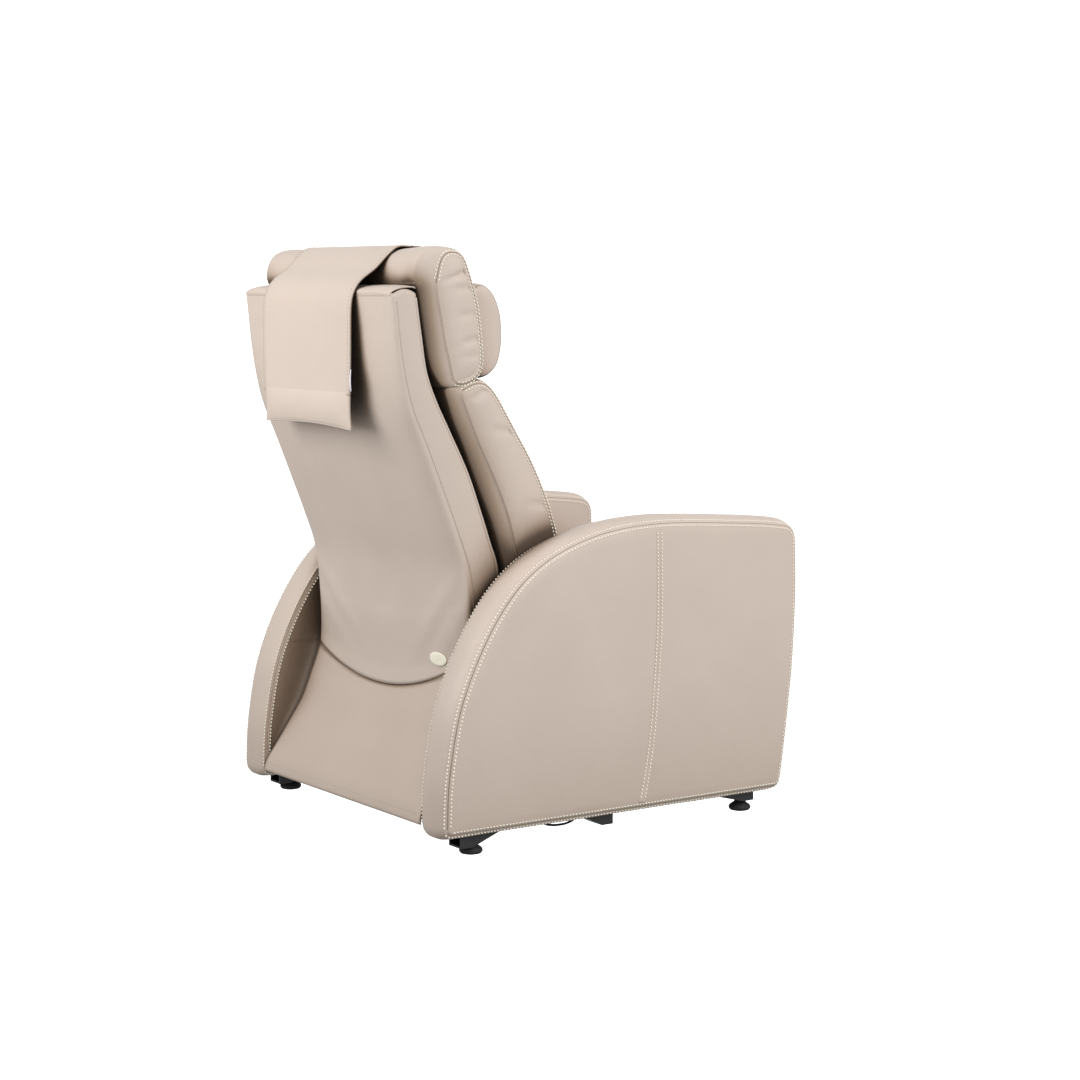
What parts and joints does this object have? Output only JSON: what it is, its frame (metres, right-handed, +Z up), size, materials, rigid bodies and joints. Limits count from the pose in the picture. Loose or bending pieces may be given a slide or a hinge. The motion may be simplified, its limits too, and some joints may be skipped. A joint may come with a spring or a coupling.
{
  "type": "massage chair",
  "caption": "Padded recliner with curved arms, reclining back with massage rollers, tilting seat, swinging leg rest, neck pillow with rear flap, and levelling feet.",
  "frame": {"origin": "on the floor under the middle of the overall box", "axes": "+Z up, the chair faces -Y, the sitter's left is +X"},
  "size_m": [0.8, 0.93, 1.155],
  "materials": {
    "leather": "satin",
    "cushion": "satin",
    "stitching": "matte",
    "arm_core": "matte",
    "board": "matte",
    "black_steel": "satin",
    "bright_steel": "satin",
    "black_plastic": "matte",
    "rubber": "matte",
    "cable": "satin",
    "ivory_plastic": "gloss"
  },
  "bodies": {
    "base": {"arm_core_left": "arm_core", "arm_core_right": "arm_core", "arm_band_left": "leather", "arm_band_right": "leather", "arm_outer_panel_left": "leather", "arm_outer_panel_right": "leather", "arm_inner_panel_left": "leather", "arm_inner_panel_right": "leather", "base_side_rail_left": "black_steel", "base_side_rail_right": "black_steel", "bracket_rail_left": "black_steel", "bracket_rail_right": "black_steel", "base_front_member": "black_steel", "base_middle_member": "black_steel", "base_rear_member": "black_steel", "recline_shaft": "bright_steel", "rear_skirt": "leather", "control_box": "black_plastic", "mains_inlet": "black_plastic", "actuator_lead": "cable", "control_panel": "black_plastic", "recline_actuator_housing": "black_plastic", "tilt_actuator_housing": "black_plastic"},
    "seat": {"seat_frame": "black_steel", "seat_deck": "board", "seat_cushion": "cushion", "legrest_actuator_housing": "black_plastic"},
    "legrest": {"legrest_frame": "black_steel", "legrest_cushion": "cushion"},
    "backrest": {"back_frame": "black_steel", "lead_screw": "bright_steel", "screw_motor": "black_plastic", "recline_lever": "black_steel", "back_cushion": "cushion", "headrest_cushion": "cushion", "headrest_bracket": "black_steel", "rear_shell": "leather", "skirt_upper": "leather", "badge": "ivory_plastic", "strap_over": "leather"},
    "pillow": {"neck_pillow": "cushion"},
    "flap": {"pillow_flap": "leather"},
    "carriage": {"massage_carriage": "black_plastic"},
    "roller_arm_left": {"roller_arm_left": "bright_steel"},
    "roller_upper_left": {"massage_roller_upper_left": "black_plastic"},
    "roller_lower_left": {"massage_roller_lower_left": "black_plastic"},
    "roller_arm_right": {"roller_arm_right": "bright_steel"},
    "roller_upper_right": {"massage_roller_upper_right": "black_plastic"},
    "roller_lower_right": {"massage_roller_lower_right": "black_plastic"},
    "recline_rod": {"recline_actuator_rod": "bright_steel"},
    "tilt_rod": {"tilt_actuator_rod": "bright_steel"},
    "legrest_rod": {"legrest_actuator_rod": "bright_steel"},
    "foot_front_left": {"levelling_foot_front_left": "rubber"},
    "foot_front_right": {"levelling_foot_front_right": "rubber"},
    "foot_rear_left": {"levelling_foot_rear_left": "rubber"},
    "foot_rear_right": {"levelling_foot_rear_right": "rubber"},
    "button_recline": {"button_recline": "ivory_plastic"},
    "button_upright": {"button_upright": "ivory_plastic"},
    "button_massage": {"button_massage": "ivory_plastic"}
  },
  "joints": [
    {"name": "recline", "type": "hinge", "parent": "base", "child": "backrest", "pos_m": [0, 0.165, 0.3], "axis": [-1, 0, 0], "range_deg": [0, 36]},
    {"name": "seat_tilt", "type": "hinge", "parent": "base", "child": "seat", "pos_m": [0, 0.165, 0.3], "axis": [-1, 0, 0], "range_deg": [0, 13]},
    {"name": "legrest", "type": "hinge", "parent": "seat", "child": "legrest", "pos_m": [0, -0.44, 0.362], "axis": [-1, 0, 0], "range_deg": [0, 80]},
    {"name": "recline_rod", "type": "slide", "parent": "base", "child": "recline_rod", "axis": [0, -1, 0], "range_m": [0, 0.068]},
    {"name": "tilt_rod", "type": "slide", "parent": "base", "child": "tilt_rod", "axis": [0, 0, 1], "range_m": [0, 0.0777]},
    {"name": "legrest_rod", "type": "slide", "parent": "seat", "child": "legrest_rod", "axis": [0, -1, 0], "range_m": [0, 0.0772]},
    {"name": "massage_travel", "type": "slide", "parent": "backrest", "child": "carriage", "axis": [0, 0.3616, 0.9323], "range_m": [-0.145, 0.145]},
    {"name": "roller_arm_left", "type": "hinge", "parent": "carriage", "child": "roller_arm_left", "pos_m": [0.088, 0.24501, 0.63901], "axis": [1, 0, 0], "range_deg": [-8, 8]},
    {"name": "roller_upper_left", "type": "hinge", "parent": "roller_arm_left", "child": "roller_upper_left", "pos_m": [0.0705, 0.20814, 0.70158], "axis": [1, 0, 0], "continuous": true},
    {"name": "roller_lower_left", "type": "hinge", "parent": "roller_arm_left", "child": "roller_lower_left", "pos_m": [0.0705, 0.17559, 0.61767], "axis": [1, 0, 0], "continuous": true},
    {"name": "roller_arm_right", "type": "hinge", "parent": "carriage", "child": "roller_arm_right", "pos_m": [-0.088, 0.24501, 0.63901], "axis": [1, 0, 0], "range_deg": [-8, 8]},
    {"name": "roller_upper_right", "type": "hinge", "parent": "roller_arm_right", "child": "roller_upper_right", "pos_m": [-0.0705, 0.20814, 0.70158], "axis": [1, 0, 0], "continuous": true},
    {"name": "roller_lower_right", "type": "hinge", "parent": "roller_arm_right", "child": "roller_lower_right", "pos_m": [-0.0705, 0.17559, 0.61767], "axis": [1, 0, 0], "continuous": true},
    {"name": "pillow_height", "type": "slide", "parent": "backrest", "child": "pillow", "axis": [0, 0, 1], "range_m": [0, 0.06]},
    {"name": "flap_slide", "type": "slide", "parent": "backrest", "child": "flap", "axis": [0, 0, 1], "range_m": [-0.06, 0]},
    {"name": "foot_front_left", "type": "hinge", "parent": "base", "child": "foot_front_left", "pos_m": [0.357, -0.357, 0.02], "axis": [0, 0, 1], "continuous": true},
    {"name": "foot_front_right", "type": "hinge", "parent": "base", "child": "foot_front_right", "pos_m": [-0.357, -0.357, 0.02], "axis": [0, 0, 1], "continuous": true},
    {"name": "foot_rear_left", "type": "hinge", "parent": "base", "child": "foot_rear_left", "pos_m": [0.357, 0.307, 0.02], "axis": [0, 0, 1], "continuous": true},
    {"name": "foot_rear_right", "type": "hinge", "parent": "base", "child": "foot_rear_right", "pos_m": [-0.357, 0.307, 0.02], "axis": [0, 0, 1], "continuous": true},
    {"name": "button_recline", "type": "slide", "parent": "base", "child": "button_recline", "axis": [-1, 0, 0], "range_m": [0, 0.0015], "stiffness_N_per_m": 600},
    {"name": "button_upright", "type": "slide", "parent": "base", "child": "button_upright", "axis": [-1, 0, 0], "range_m": [0, 0.0015], "stiffness_N_per_m": 600},
    {"name": "button_massage", "type": "slide", "parent": "base", "child": "button_massage", "axis": [-1, 0, 0], "range_m": [0, 0.0015], "stiffness_N_per_m": 600}
  ],
  "couplings": [
    {"joint": "seat_tilt", "follows": "recline", "ratio": 0.36111},
    {"joint": "recline_rod", "follows": "recline", "m_per_rad": 0.10819},
    {"joint": "tilt_rod", "follows": "recline", "m_per_rad": 0.1236},
    {"joint": "legrest_rod", "follows": "legrest", "m_per_rad": 0.05524},
    {"joint": "roller_arm_right", "follows": "roller_arm_left", "ratio": -1},
    {"joint": "flap_slide", "follows": "pillow_height", "ratio": -1}
  ]
}
